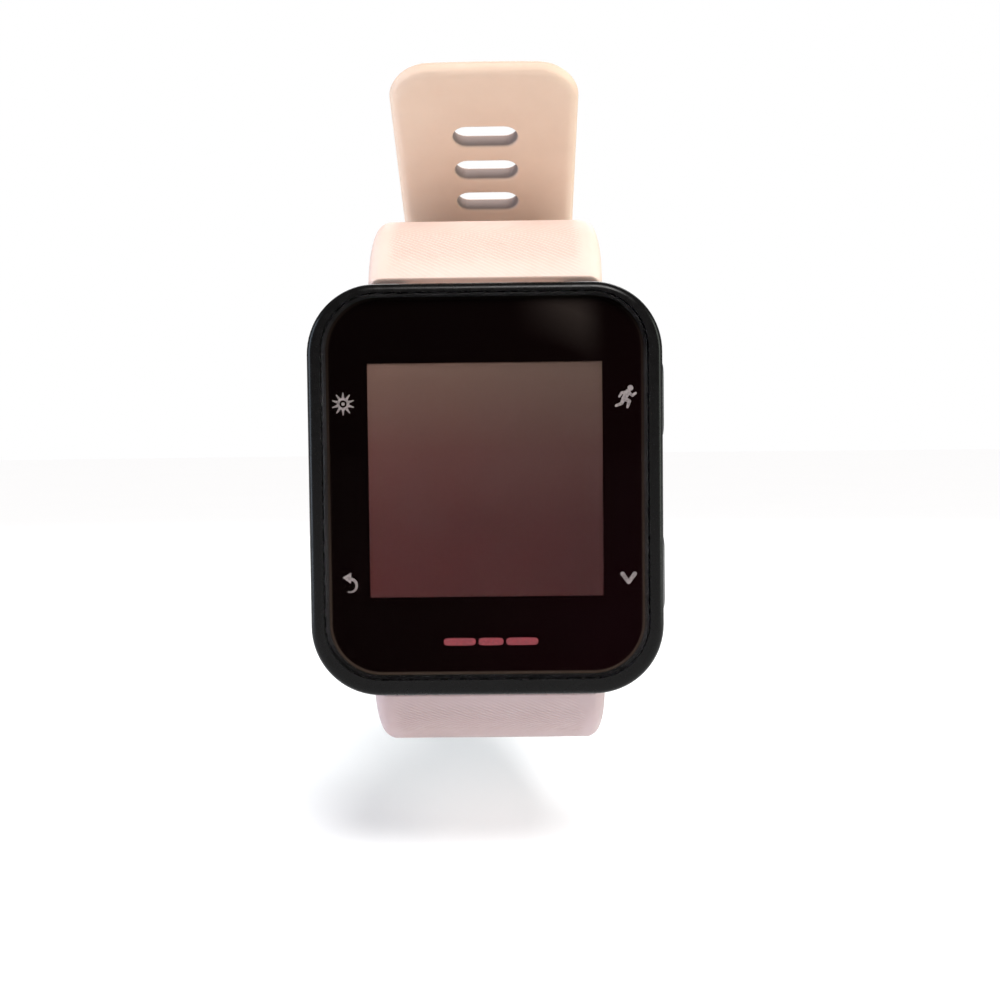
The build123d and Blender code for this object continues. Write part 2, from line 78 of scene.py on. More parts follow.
class Nodes:
    """Small builder for a Principled material."""

    def __init__(self, name, color, rough=0.5, **sockets):
        self.material = bpy.data.materials.new(name)
        self.material.use_nodes = True
        self.tree = self.material.node_tree
        self.shader = self.tree.nodes["Principled BSDF"]
        self.set(self.shader, "Base Color", color)
        self.set(self.shader, "Roughness", rough)
        for key, value in sockets.items():
            self.set(self.shader, key.replace("_", " "), value)
        self.material.diffuse_color = color
        self.coords = self.node("ShaderNodeTexCoord").outputs["Object"]

    def set(self, node, socket, value):
        node.inputs[socket].default_value = value

    def node(self, kind, **settings):
        made = self.tree.nodes.new(kind)
        for key, value in settings.items():
            setattr(made, key, value)
        return made

    def link(self, a, b):
        self.tree.links.new(a, b)

    def noise(self, scale, detail=3.0, rough=0.5, stretch=None):
        """Noise factor at a scale in features per metre."""
        tex = self.node("ShaderNodeTexNoise")
        self.set(tex, "Scale", scale)
        self.set(tex, "Detail", detail)
        self.set(tex, "Roughness", rough)
        source = self.coords
        if stretch:
            mapping = self.node("ShaderNodeMapping")
            mapping.inputs["Scale"].default_value = stretch
            self.link(source, mapping.inputs["Vector"])
            source = mapping.outputs["Vector"]
        self.link(source, tex.inputs["Vector"])
        return tex.outputs["Fac"]

    def ramp(self, factor, stops, smooth=False):
        ramp = self.node("ShaderNodeValToRGB")
        ramp.color_ramp.interpolation = "EASE" if smooth else "LINEAR"
        elements = ramp.color_ramp.elements
        while len(elements) < len(stops):
            elements.new(0.5)
        for element, (position, color) in zip(elements, stops):
            element.position = position
            element.color = color
        self.link(factor, ramp.inputs["Fac"])
        return ramp.outputs["Color"]

    def grey(self, factor, low, high, dark=0.0, light=1.0):
        return self.ramp(factor, [(low, (dark, dark, dark, 1)), (high, (light, light, light, 1))])

    def math(self, operation, a, b=0.0, c=0.0):
        made = self.node("ShaderNodeMath", operation=operation)
        for socket, value in zip(made.inputs, (a, b, c)):
            if isinstance(value, (int, float)):
                socket.default_value = value
            else:
                self.link(value, socket)
        return made.outputs[0]

    def hypot(self, a, b):
        squares = [self.math("POWER", self.math("ABSOLUTE", side), 2.0) for side in (a, b)]
        return self.math("SQRT", self.math("ADD", *squares))

    def tinted(self, factor, base, tint):
        """Base colour multiplied by a tint where the factor is one."""
        return self.mix(factor, base, self.mix(1.0, base, tint, "MULTIPLY"))

    def mix(self, factor, a, b, blend_type="MIX"):
        made = self.node("ShaderNodeMix", data_type="RGBA", blend_type=blend_type)
        for socket, value in ((made.inputs[0], factor), (made.inputs[6], a), (made.inputs[7], b)):
            if isinstance(value, (int, float, tuple)):
                socket.default_value = value
            else:
                self.link(value, socket)
        return made.outputs[2]

    def split(self, vector):
        made = self.node("ShaderNodeSeparateXYZ")
        self.link(vector, made.inputs[0])
        return made.outputs[0], made.outputs[1], made.outputs[2]

    def color(self, output):
        self.link(output, self.shader.inputs["Base Color"])

    def roughness(self, output):
        self.link(output, self.shader.inputs["Roughness"])

    def bump(self, height, distance, strength=1.0, below=None):
        """Bump by a height factor over a depth in metres, on top of an earlier one."""
        made = self.node("ShaderNodeBump")
        self.set(made, "Strength", strength)
        self.set(made, "Distance", distance)
        self.link(height, made.inputs["Height"])
        if below:
            self.link(below, made.inputs["Normal"])
        self.link(made.outputs["Normal"], self.shader.inputs["Normal"])
        return made.outputs["Normal"]


def moulded(name, color, rough=0.5, grain=0.00001, variation=0.12, **sockets):
    """Moulded plastic or rubber: fine grain, slight tone change, uneven gloss."""
    m = Nodes(name, color, rough, **sockets)
    tone = m.grey(m.noise(180, 4), 0.3, 0.7, 1 - variation, 1 + variation)
    m.color(m.mix(1.0, color, tone, "MULTIPLY"))
    m.roughness(m.grey(m.noise(900, 5), 0.3, 0.7, max(rough - 0.07, 0.02), rough + 0.08))
    m.bump(m.noise(9000, 4, 0.6), grain)
    return m.material


def metal(name, color, rough=0.32, stretch=(1, 12, 12)):
    """Brushed or turned metal with fine drawn lines."""
    m = Nodes(name, color, rough, Metallic=1.0)
    lines = m.noise(5000, 3, 0.6, stretch=stretch)
    m.roughness(m.grey(lines, 0.3, 0.7, rough - 0.08, rough + 0.12))
    darker = tuple(c * 0.8 for c in color[:3]) + (1,)
    m.color(m.mix(m.grey(m.noise(400, 4), 0.35, 0.75), color, darker))
    m.bump(lines, 0.000006)
    return m.material


# ---------------------------------------------------------------- materials
RIB_PITCH = 0.40
RIB_SLOPE = 0.51
# added to the short strap's place in mm along its UV map, which sets it apart from the long strap
SHORT_SHIFT = -200.0
# painted warm shade of the long strap's tail
TAIL_PAINTED_SHADE = srgb(234, 226, 212)
# painted shade on the first part of the long strap
ROOT_PAINTED_SHADE = srgb(200, 196, 207)
# painted shade that tones the short strap down
SHORT_PAINTED_SHADE = srgb(247, 241, 237)
# painted shade in the slot walls
SLOT_WALL_SHADE = srgb(120, 106, 105)
# painted shade in the rib valleys
RIB_VALLEY_SHADE = srgb(168, 140, 128)


def strap_material(name, ribbed):
    """White silicone. The UV map holds millimetres across and along the strap; the ribbed one
    is tinted along it to match the photo's colours."""
    m = Nodes(name, srgb(233, 213, 204), 0.55)
    m.set(m.shader, "Subsurface Weight", 0.12)
    m.set(m.shader, "Subsurface Radius", (1.0, 0.6, 0.45))
    m.set(m.shader, "Subsurface Scale", 0.0012)
    m.set(m.shader, "Specular IOR Level", 0.4)
    base = m.mix(m.grey(m.noise(70, 5, 0.6), 0.35, 0.7), srgb(236, 214, 205), srgb(227, 203, 193))
    stain = m.grey(m.noise(45, 6, 0.7, stretch=(1.3, 1, 0.8)), 0.56, 0.74)
    base = m.mix(m.math("MULTIPLY", stain, 0.35), base, srgb(214, 192, 172))
    # sparse dust and scuffs
    cells = m.node("ShaderNodeTexVoronoi", feature="F1")
    m.set(cells, "Scale", 620.0)
    m.link(m.coords, cells.inputs["Vector"])
    picked = m.math("GREATER_THAN", m.split(cells.outputs["Color"])[0], 0.93)
    near = m.math("LESS_THAN", cells.outputs["Distance"], 0.085)
    speck = m.math("MULTIPLY", m.math("MULTIPLY", picked, near), 0.5)
    base = m.mix(speck, base, srgb(120, 98, 88))
    if ribbed:
        uv = m.node("ShaderNodeUVMap", uv_map="strap").outputs[0]
        across, along, _ = m.split(uv)
        # painted warm shade, browner from 60 to 90 mm on the long strap
        base = m.tinted(m.grey(m.math("MULTIPLY", along, 0.01), 0.6, 0.9), base, TAIL_PAINTED_SHADE)
        # painted shade, greyer on the long strap's first 12.5 mm, fading out at 25 mm
        root_shade_fade = m.grey(m.math("MULTIPLY", along, 0.04), 0.5, 1.0, 1.0, 0.0)
        root_shade = m.math("MULTIPLY", m.math("GREATER_THAN", along, 0.0), root_shade_fade)
        base = m.tinted(root_shade, base, ROOT_PAINTED_SHADE)
        # painted shade: the short strap slightly darker than the long strap
        base = m.tinted(m.math("LESS_THAN", along, 0.0), base, SHORT_PAINTED_SHADE)
        # painted shade on the walls of the tail's slots
        slot_shade = m.node("ShaderNodeAttribute", attribute_name="slot_wall_shade").outputs["Fac"]
        base = m.mix(m.math("MULTIPLY", slot_shade, 0.9), base, SLOT_WALL_SHADE)
    m.color(base)
    m.roughness(m.grey(m.noise(600, 5), 0.3, 0.7, 0.46, 0.66))
    grain = m.bump(m.noise(12000, 4, 0.6), 0.000012)
    if ribbed:
        # diagonal ribs that stop short of the smooth margins
        run = m.math("ADD", along, m.math("MULTIPLY", across, RIB_SLOPE))
        wave = m.math("SINE", m.math("MULTIPLY", run, 2 * math.pi / RIB_PITCH))
        height = m.math("ADD", m.math("MULTIPLY", wave, 0.5), 0.5)
        side = m.node("ShaderNodeAttribute", attribute_name="rib_mask").outputs["Fac"]
        m.bump(m.math("MULTIPLY", height, side), 0.00009, 0.8, below=grain)
        # painted shade in the valleys between the ribs
        valley_shade = m.math("MULTIPLY", m.math("SUBTRACT", 1.0, height), m.math("MULTIPLY", side, 0.3))
        m.color(m.mix(valley_shade, base, RIB_VALLEY_SHADE))
    return m.material


strap_ribbed = strap_material("silicone_ribbed", True)
strap_smooth = strap_material("silicone_smooth", False)


def lens_material():
    m = Nodes("lens_glass", (0.93, 0.9, 0.9, 1), 0.02)
    m.set(m.shader, "Transmission Weight", 1.0)
    m.set(m.shader, "IOR", 1.07)
    smear = m.noise(160, 5, 0.65, stretch=(1, 1, 0.5))
    m.roughness(m.grey(smear, 0.45, 0.75, 0.015, 0.07))
    m.bump(m.noise(60, 2), 0.000002)
    return m.material


WHITE, BLACK = (1, 1, 1, 1), (0, 0, 0, 1)
# metres: arc of the sheen, and the straight half lengths and centre of the bevel's outline
SHEEN_X, SHEEN_Z, SHEEN_RADIUS, SHEEN_WIDTH = 0.0025, 0.0009, 0.018, 0.0011
BEVEL_SIDE, BEVEL_END, BEVEL_Z = 0.0106, 0.01365, 0.00035


def print_material():
    """Black ink behind the glass, faintly maroon toward the lower right, with a painted reflection
    near the upper right corner and a painted highlight along the glass bevel.
    """
    m = Nodes("mask_ink", srgb(9, 1, 1), 0.5)
    x, _, z = m.split(m.coords)
    lean = m.math("ADD", m.math("MULTIPLY", x, 28.0), m.math("MULTIPLY", z, -14.0))
    factor = m.math("ADD", lean, 0.42)
    shade = m.ramp(factor, [(0.0, srgb(6, 1, 1)), (0.5, srgb(8, 1, 1)), (1.0, srgb(17, 2, 4))])
    shade = m.mix(m.math("MULTIPLY", m.noise(200, 3), 0.2), shade, srgb(5, 1, 1))
    # soft curved sheen near the upper right corner
    across = m.math("SUBTRACT", x, SHEEN_X)
    up = m.math("SUBTRACT", z, SHEEN_Z)
    away = m.math("SUBTRACT", m.hypot(across, up), SHEEN_RADIUS)
    band = m.grey(m.math("ABSOLUTE", away), 0.0, SHEEN_WIDTH, 1.0, 0.0)
    stops = [(0.12, BLACK), (0.46, WHITE), (0.62, BLACK)]
    window = m.ramp(m.math("MULTIPLY", x, 50.0), stops, smooth=True)
    upper = m.math("GREATER_THAN", z, 0.008)
    sheen = m.math("MULTIPLY", m.math("MULTIPLY", band, window), upper)
    shade = m.mix(m.math("MULTIPLY", sheen, 0.5), shade, srgb(66, 58, 54))
    # painted highlight where the glass bevel catches light: a bronze line, strongest along the bottom
    side = m.math("SUBTRACT", m.math("ABSOLUTE", x), BEVEL_SIDE)
    end = m.math("SUBTRACT", m.math("ABSOLUTE", m.math("SUBTRACT", z, BEVEL_Z)), BEVEL_END)
    corner = m.hypot(m.math("MAXIMUM", side, 0.0), m.math("MAXIMUM", end, 0.0))
    reach = m.math("ADD", corner, m.math("MINIMUM", m.math("MAXIMUM", side, end), 0.0))
    stops = [(0.495, BLACK), (0.512, WHITE), (0.53, (0.7, 0.7, 0.7, 1))]
    line = m.ramp(m.math("MULTIPLY", reach, 100.0), stops)
    low = m.grey(m.math("MULTIPLY_ADD", z, -25.0, 0.5), 0.2, 0.95, 0.25, 0.95)
    m.color(m.mix(m.math("MULTIPLY", line, low), shade, srgb(72, 60, 52)))
    m.bump(m.noise(3000, 2), 0.0000002)
    m.set(m.shader, "Specular IOR Level", 0.02)
    return m.material


SCREEN_SIZE = 0.0235
PIXEL = 0.00019
# painted reflection tones of the unlit display, from bottom to top
SCREEN_REFLECTION_TONES = [
    (0.0, srgb(47, 12, 12)),
    (0.32, srgb(50, 20, 19)),
    (0.62, srgb(60, 34, 31)),
    (1.0, srgb(75, 57, 49)),
]


def screen_material():
    """Unlit reflective display with a painted reflection: warm grey above, maroon below, darker and
    cooler toward the right, with a fine pixel grid.
    """
    m = Nodes("unlit_display", srgb(85, 60, 56), 0.5)
    m.set(m.shader, "Specular IOR Level", 0.15)
    x, _, z = m.split(m.coords)
    # painted reflection, warm grey above and maroon below
    reflection_tone = m.ramp(m.math("MULTIPLY_ADD", z, 1 / SCREEN_SIZE, 0.457), SCREEN_REFLECTION_TONES)
    right = m.math("MULTIPLY_ADD", x, 1 / SCREEN_SIZE, 0.5)
    # painted reflection, darker and cooler toward the right
    reflection_tone = m.tinted(m.math("MULTIPLY", right, 0.6), reflection_tone, srgb(172, 186, 184))
    reflection_tone = m.mix(m.grey(m.noise(90, 2), 0.4, 0.7, 0.0, 0.12), reflection_tone, srgb(60, 48, 46))
    grid_x = m.math("SINE", m.math("MULTIPLY", x, 2 * math.pi / PIXEL))
    grid_z = m.math("SINE", m.math("MULTIPLY", z, 2 * math.pi / PIXEL))
    grid = m.math("MULTIPLY", m.math("MAXIMUM", grid_x, grid_z), 0.04)
    m.color(m.mix(m.math("MAXIMUM", grid, 0.0), reflection_tone, srgb(30, 20, 20)))
    m.bump(m.noise(4000, 2), 0.0000003)
    return m.material


def board_material():
    m = Nodes("solder_mask", srgb(22, 80, 52), 0.35)
    cells = m.node("ShaderNodeTexVoronoi", feature="DISTANCE_TO_EDGE")
    m.set(cells, "Scale", 700.0)
    m.link(m.coords, cells.inputs["Vector"])
    tracks = m.math("LESS_THAN", cells.outputs["Distance"], 0.05)
    m.color(m.mix(m.math("MULTIPLY", tracks, 0.6), srgb(20, 78, 50), srgb(60, 130, 84)))
    m.bump(tracks, 0.00003)
    return m.material


LOOKS = {
    "case_plastic": moulded("case_plastic", srgb(19, 19, 21), 0.42, 0.000012, Specular_IOR_Level=0.3),
    "bezel_plastic": moulded("bezel_plastic", srgb(9, 8, 8), 0.26, 0.000001, Specular_IOR_Level=0.13),
    "lens_glass": lens_material(),
    "mask_ink": print_material(),
    "adhesive": moulded("adhesive_foam", srgb(12, 11, 11), 0.8, 0.000003, 0.04),
    "display_glass": screen_material(),
    "light_guide": moulded("light_guide", srgb(222, 226, 228), 0.3, 0.00001),
    "chassis_metal": metal("chassis_metal", srgb(190, 192, 196), 0.38),
    "board_green": board_material(),
    "battery_foil": metal("battery_foil", srgb(196, 198, 202), 0.42, (3, 3, 3)),
    "foam_tape": moulded("foam_tape", srgb(36, 36, 36), 0.9, 0.00006),
    "shield_metal": metal("shield_metal", srgb(196, 196, 194), 0.3),
    "motor_metal": metal("motor_metal", srgb(170, 171, 176), 0.28),
    "antenna_ceramic": moulded("antenna_ceramic", srgb(222, 212, 184), 0.55, 0.00002),
    "ribbon_film": moulded("ribbon_film", srgb(170, 108, 40), 0.3, 0.000008),
    "switch_metal": metal("switch_metal", srgb(186, 180, 166), 0.3),
    "back_plastic": moulded("back_plastic", srgb(34, 36, 38), 0.42, 0.00001),
    "gasket_rubber": moulded("gasket_rubber", srgb(120, 44, 38), 0.6, 0.00001),
    "emitter_plastic": moulded("emitter_resin", srgb(120, 200, 150), 0.2, 0.000004),
    "contact_gold": metal("contact_gold", srgb(226, 184, 98), 0.22, (4, 4, 4)),
    "screw_steel": metal("screw_steel", srgb(150, 150, 154), 0.3, (6, 6, 6)),
    "button_plastic": moulded("button_plastic", srgb(23, 23, 25), 0.36, 0.000008),
    "pin_steel": metal("pin_steel", srgb(190, 190, 194), 0.25),
    "buckle_steel": metal("buckle_steel", srgb(176, 177, 181), 0.3),
}


def sensor_material():
    m = Nodes("sensor_glass", srgb(20, 22, 25), 0.06)
    m.set(m.shader, "Transmission Weight", 0.55)
    m.set(m.shader, "IOR", 1.5)
    m.roughness(m.grey(m.noise(240, 4), 0.4, 0.75, 0.04, 0.12))
    m.bump(m.noise(80, 2), 0.000002)
    return m.material


LOOKS["sensor_glass"] = sensor_material()
LOOKS["strap_silicone"] = strap_smooth
LOOKS["keeper_silicone"] = strap_smooth

slots = {row["node"]: row["material_slot"] for row in frame["record"]["subparts"]}
for node_name, obj in frame["nodes"].items():
    obj.data.materials.clear()
    obj.data.materials.append(LOOKS[slots[node_name]])
frame["nodes"]["lens"].visible_shadow = False


# ---------------------------------------------------------------- geometry helpers
def travel(start, heading, runs, distance):
    """Point, and heading in radians, after a distance in mm along arcs and straight runs in the
    YZ plane. A run is (radius, degrees turned) or (None, length); the start heading is in degrees."""
    y, z = start
    angle = math.radians(heading)
    for radius, amount in runs:
        length = amount if radius is None else radius * abs(math.radians(amount))
        step = min(distance, length)
        if (radius, amount) == runs[-1]:
            step = distance
        distance -= step
        if radius is None:
            y += step * math.cos(angle)
            z += step * math.sin(angle)
        else:
            side = 1 if amount > 0 else -1
            turned = angle + side * step / radius
            y += side * radius * (math.sin(turned) - math.sin(angle))
            z -= side * radius * (math.cos(turned) - math.cos(angle))
            angle = turned
        if distance <= 1e-9:
            break
    return y, z, angle


# the strap's middle line, in mm and degrees, from the two case pins
SHORT_HEADING, SHORT_RUNS = 82.0, [(11.6, -70.0), (20.0, -110.0)]
LONG_HEADING = -76.0
LONG_RUNS = [(12.0, 64.0), (28.0, 102.0), (None, 2.7), (30.0, 60.0), (None, 30.55)]
LUG_Y, LUG_Z = -5.0, 18.0


def run_length(runs):
    return sum(a if r is None else r * abs(math.radians(a)) for r, a in runs)


SHORT_END, LONG_END = run_length(SHORT_RUNS), run_length(LONG_RUNS)


def short_at(x, s, lift):
    y, z, angle = travel((LUG_Y, LUG_Z), SHORT_HEADING, SHORT_RUNS, s)
    return Vector((x, y - lift * math.sin(angle), z + lift * math.cos(angle))) * MM


def long_at(x, s, lift):
    y, z, angle = travel((LUG_Y, -LUG_Z), LONG_HEADING, LONG_RUNS, s)
    return Vector((x, y + lift * math.sin(angle), z - lift * math.cos(angle))) * MM


def clamp(value):
    return max(0.0, min(1.0, value))


def ease(a, b, t):
    t = clamp(t)
    return a + (b - a) * t * t * (3 - 2 * t)


WIDE, NARROW = 24.6, 20.4
THICK, THIN, TAIL_THIN = 3.6, 2.5, 1.9
TAIL_FROM = 60.0


def strap_width(s):
    return ease(WIDE, NARROW, (s - 6.0) / 30.0)


def strap_thickness(s):
    return ease(THICK, THIN, (s - 5.0) / 22.0)


def long_thickness(s):
    return strap_thickness(s) if s < TAIL_FROM else ease(THIN, TAIL_THIN, (s - 66.0) / 30.0)


def rounded(corners, radii, steps=8):
    """Closed outline with each corner of a polygon rounded by its own radius."""
    count, points = len(corners), []
    for i, (corner, radius) in enumerate(zip(corners, radii)):
        here = Vector(corner)
        before, after = Vector(corners[i - 1]), Vector(corners[(i + 1) % count])
        d0, d1 = (before - here).normalized(), (after - here).normalized()
        half = math.acos(max(-1, min(1, d0.dot(d1)))) / 2
        if radius <= 0 or half > 1.56:
            points.append(here)
            continue
        reach = radius / math.tan(half)
        centre = here + (d0 + d1).normalized() * (radius / math.sin(half))
        a, b = here + d0 * reach - centre, here + d1 * reach - centre
        for k in range(steps + 1):
            mixed = a.lerp(b, k / steps)
            points.append(centre + mixed.normalized() * radius)
    return points


def pill(cx, cy, length, height, steps=10):
    """Closed slot outline, long way along x."""
    r, points = height / 2, []
    for sx, start in ((1, -90), (-1, 90)):
        for k in range(steps + 1):
            a = math.radians(start + 180 * k / steps)
            x = cx + sx * (length / 2 - r) + r * math.cos(a)
            points.append(Vector((x, cy + r * math.sin(a))))
    return points


def boxed(x0, y0, x1, y1, radius):
    """Rectangle outline with equal rounded corners."""
    return rounded([(x1, y0), (x1, y1), (x0, y1), (x0, y0)], [radius] * 4)


def plate(name, loops, half, edge):
    """Mesh of a flat plate in the XY plane with rounded rims: an outline and its holes, in mm."""
    curve = bpy.data.curves.new(name, "CURVE")
    curve.dimensions = "2D"
    curve.fill_mode = "BOTH"
    curve.extrude = half - edge
    curve.bevel_depth = edge
    curve.bevel_resolution = 4
    curve.offset = -edge
    for loop in loops:
        spline = curve.splines.new("POLY")
        spline.points.add(len(loop) - 1)
        spline.use_cyclic_u = True
        for point, target in zip(loop, spline.points):
            target.co = (point[0], point[1], 0, 1)
    temp = bpy.data.objects.new(name, curve)
    scene.collection.objects.link(temp)
    bpy.context.view_layer.update()
    depsgraph = bpy.context.evaluated_depsgraph_get()
    mesh = bpy.data.meshes.new_from_object(temp.evaluated_get(depsgraph))
    bpy.data.objects.remove(temp)
    bm = bmesh.new()
    bm.from_mesh(mesh)
    bmesh.ops.remove_doubles(bm, verts=bm.verts, dist=0.004)
    return bm


def sliced(bm, axis, positions):
    """Cuts a mesh by planes across an axis, so that it can bend there."""
    normal = [0, 0, 0]
    normal[axis] = 1
    for position in positions:
        point = [0, 0, 0]
        point[axis] = position
        geometry = bm.verts[:] + bm.edges[:] + bm.faces[:]
        bmesh.ops.bisect_plane(bm, geom=geometry, dist=1e-5, plane_co=point, plane_no=normal)


def steps_between(a, b, pitch):
    count = max(1, int(round((b - a) / pitch)))
    return [a + (b - a) * k / count for k in range(1, count)]


def finished(bm, name, material, smooth=True):
    """Turns a bmesh in metres into a shown object."""
    bmesh.ops.recalc_face_normals(bm, faces=bm.faces)
    mesh = bpy.data.meshes.new(name)
    bm.to_mesh(mesh)
    bm.free()
    mesh.polygons.foreach_set("use_smooth", [smooth] * len(mesh.polygons))
    mesh.set_sharp_from_angle(angle=math.radians(40))
    mesh.materials.append(material)
    obj = bpy.data.objects.new(name, mesh)
    scene.collection.objects.link(obj)
    weighted = obj.modifiers.new("weighted", "WEIGHTED_NORMAL")
    weighted.keep_sharp = True
    return obj


def barrel(bm, centre, radius, x0, x1, edge=0.3):
    """Adds a closed cylinder along X with rounded rims, given in mm."""
    segments = 32
    y0, z0 = centre
    profile = [(x0, 0.02)]
    for k in range(4):
        a = math.radians(90 * k / 3)
        rim = edge * (1 - math.cos(math.radians(90) - a))
        profile.append((x0 + edge * (1 - math.sin(a)), radius - rim))
    profile[1:] = sorted(profile[1:], key=lambda p: p[0])
    right = [(x0 + x1 - x, r) for x, r in reversed(profile)]
    rings = []
    for x, r in profile + right:
        ring = []
        for k in range(segments):
            a = 2 * math.pi * k / segments
            point = Vector((x, y0 + r * math.cos(a), z0 + r * math.sin(a)))
            ring.append(bm.verts.new(point * MM))
        rings.append(ring)
    for a, b in zip(rings, rings[1:]):
        for k in range(segments):
            bm.faces.new((a[k], a[(k + 1) % segments], b[(k + 1) % segments], b[k]))
    bm.faces.new(rings[0])
    bm.faces.new(list(reversed(rings[-1])))


# ---------------------------------------------------------------- straps
SHOULDER = 2.95
CROWN = 1.25
RIB_MARGIN = 1.7
SLOT_COUNT, SLOT_PITCH, SLOT_FROM_TIP = 10, 5.4, 10.05
SLOT_LENGTH, SLOT_HEIGHT = 7.2, 3.0
ROOT_RADIUS, TIP_RADIUS = 0.8, 4.4
WEB_HALF, WEB_REACH = 8.2, 3.6
LUG_RADIUS = 2.2
ROLL_RADIUS, ROLL_GAP = 1.75, 3.4
SHORT_HALF = 10.2


def inset(x, s, start, stop, root_radius, tip_radius):
    """Distance in mm from a point of the flat strap to its outline. Near the case end the part
    along the strap counts threefold, which makes that end's rim tighter."""
    root = s < (start + stop) / 2
    radius = root_radius if root else tip_radius
    across = abs(x) - NARROW / 2 + radius
    along = abs(s - (start + stop) / 2) - (stop - start) / 2
    along = along * (3.0 if root else 1.0) + radius
    outside = math.hypot(max(across, 0.0), max(along, 0.0))
    return radius - outside - min(max(across, along), 0.0)


def crowned(depth):
    """Share of the full thickness at a distance from the edge."""
    u = clamp((CROWN - depth) / CROWN)
    return max(0.16, math.sqrt(1 - u * u))


def strap_place(at, thickness, start, stop, root_radius, tip_radius, bulge=0.0):
    """Function that bends the flat strap onto its path, with soft edges and the width taper."""

    def place(x, s, t):
        depth = inset(x, s, start, stop, root_radius, tip_radius)
        middle = max(0.0, 1 - (2 * x / NARROW) ** 2)
        arch = bulge * middle * ease(0.0, 1.0, (s - stop + 5.0) / 5.0)
        return at(x * strap_width(s) / NARROW, s + arch, t * crowned(depth) * thickness(s) / 2)

    return place


def rib_mask_for(start, stop):
    """Function that says how strong the ribs are at a point of the flat strap's outer face."""

    def mask(x, s, t):
        if t < 0.2:
            return 0.0
        margin = NARROW / 2 - RIB_MARGIN - abs(x)
        ends = min(s - start, stop - s)
        return clamp(margin / 0.5) * clamp(ends / 3.0)

    return mask


def flat_strap(name, start, stop, root_radius, tip_radius, holes=()):
    """Flat plate in strap coordinates, cut finely along its edges so that it can be crowned
    and bent."""
    edge = NARROW / 2
    corners = [(edge, start), (edge, stop), (-edge, stop), (-edge, start)]
    outline = rounded(corners, [root_radius, tip_radius, tip_radius, root_radius], steps=14)
    bm = plate(name, [outline, *holes], 1.0, 0.36)
    rims = [0.12, 0.3, 0.5, 0.75, 1.05, 1.5, 2.4, 3.4]
    sliced(bm, 0, [side * (edge - rim) for rim in rims for side in (1, -1)] + [-4.0, 0.0, 4.0])
    sliced(bm, 1, [start + rim for rim in rims[:5]])
    sliced(bm, 1, steps_between(start + 1.2, stop - 1.2, 0.85))
    sliced(bm, 1, [stop - rim for rim in rims[:5]])
    return bm


def bent(bm, place, mask, uv_shift=0.0, hand=-1):
    """Moves a flat strap to its place and records its flat coordinates for the surface pattern."""
    uv = bm.loops.layers.uv.new("strap")
    for face in bm.faces:
        for loop in face.loops:
            x, s, _ = loop.vert.co
            loop[uv].uv = (hand * x * strap_width(s) / NARROW, s + uv_shift)
    rib = bm.verts.layers.float.new("rib_mask")
    wall = bm.verts.layers.float.new("slot_wall_shade")
    for vert in bm.verts:
        x, s, t = vert.co
        vert[rib] = mask(x, s, t)
        # mask for the painted shade on the walls of the tail's slots
        by_slots = abs(x) < 3.9 and TAIL_FROM < s < LONG_END - 5
        vert[wall] = ease(1.0, 0.0, (abs(t) - 0.6) / 0.35) if by_slots else 0.0
        vert.co = place(x, s, t)
    return bm


def no_ribs(x, s, t):
    return 0.0


def web(place_at, uv_shift=0.0, hand=-1):
    """Narrow neck between the case pin and the wide part of a strap."""
    bm = plate("web", [boxed(-WEB_HALF, 0, WEB_HALF, WEB_REACH, 0.3)], 1.0, 0.1)
    sliced(bm, 1, [1.2, 2.4, 3.6])
    return bent(bm, lambda x, s, t: place_at(x, s, t * 1.05), no_ribs, uv_shift, hand)


def merged(bm, other):
    """Adds another bmesh's geometry to bm."""
    temp = bpy.data.meshes.new("merge")
    other.to_mesh(temp)
    other.free()
    bm.from_mesh(temp)
    bpy.data.meshes.remove(temp)


def long_strap():
    tip = LONG_END - 0.35
    holes = [pill(0, LONG_END - SLOT_FROM_TIP - index * SLOT_PITCH, SLOT_LENGTH, SLOT_HEIGHT)
             for index in range(SLOT_COUNT)]
    bm = flat_strap("long_strap", SHOULDER, tip, ROOT_RADIUS, TIP_RADIUS, holes)
    place = strap_place(long_at, long_thickness, SHOULDER, tip, ROOT_RADIUS, TIP_RADIUS, 0.3)
    bent(bm, place, rib_mask_for(3.2, 96.0))
    barrel(bm, (LUG_Y, -LUG_Z), LUG_RADIUS, -WEB_HALF, WEB_HALF)
    merged(bm, web(long_at))
    obj = finished(bm, "long_strap", strap_ribbed)
    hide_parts("long_strap_root", "long_strap_tail")
    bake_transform(obj)


